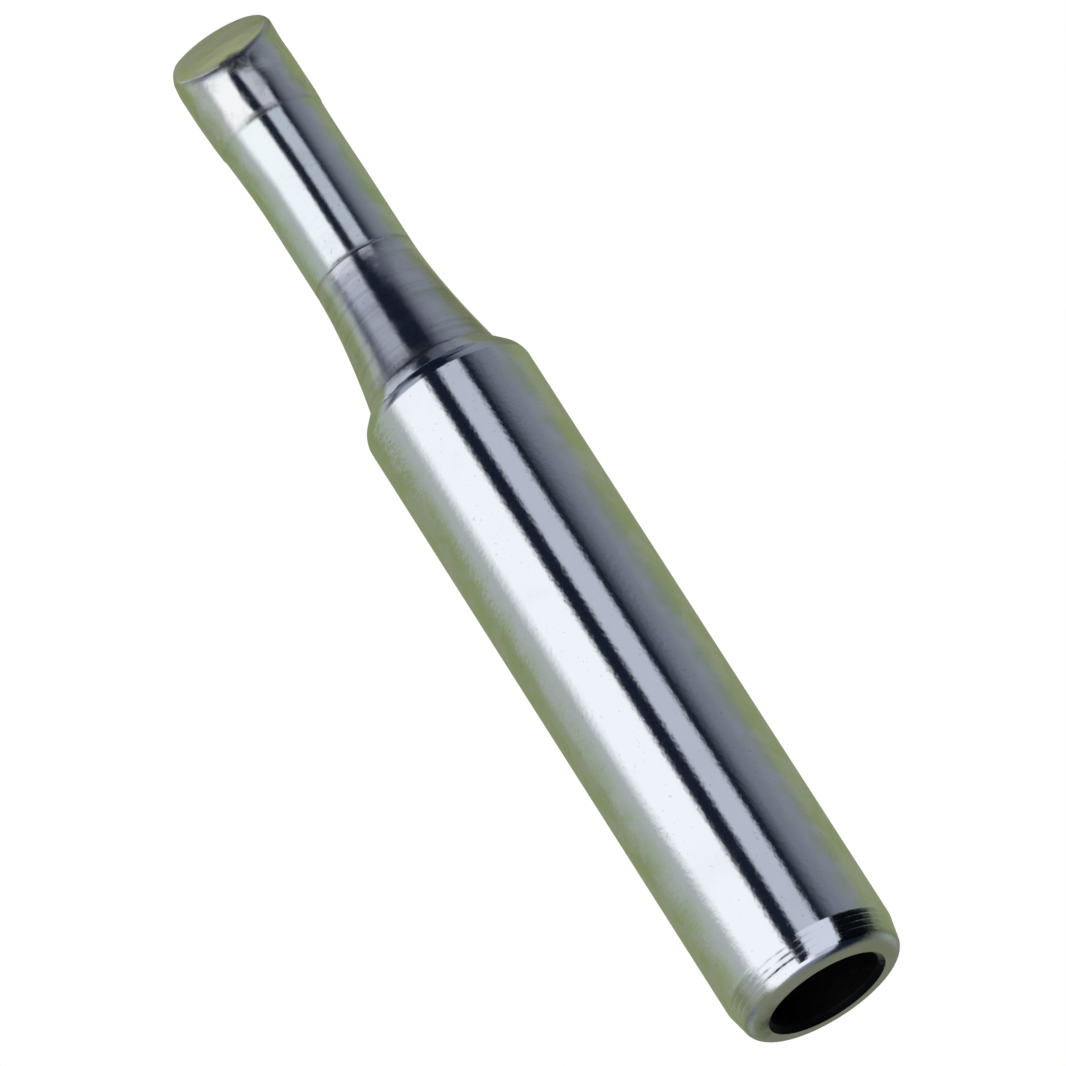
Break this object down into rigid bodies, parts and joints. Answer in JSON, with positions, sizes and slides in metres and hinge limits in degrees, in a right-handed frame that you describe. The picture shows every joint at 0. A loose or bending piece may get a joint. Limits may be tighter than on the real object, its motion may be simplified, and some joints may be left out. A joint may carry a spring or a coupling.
{
  "type": "soldering iron tip",
  "caption": "Slip-on soldering iron tip: a hollow plated barrel with a blind heater bore, a waisted nose and a bevelled, tinned working end.",
  "frame": {"origin": "centre of the open rim's plane, on the bore's axis, where the tip stands", "axes": "+Z along the bore from the open rim to the working end; the bevelled face looks up and towards -Y"},
  "size_m": [0.0065, 0.0064, 0.0439],
  "materials": {
    "plated_copper": "bright plating over a turned copper body, tinned at the working end"
  },
  "bodies": {
    "root": {"soldering_tip": "plated_copper"}
  },
  "joints": []
}
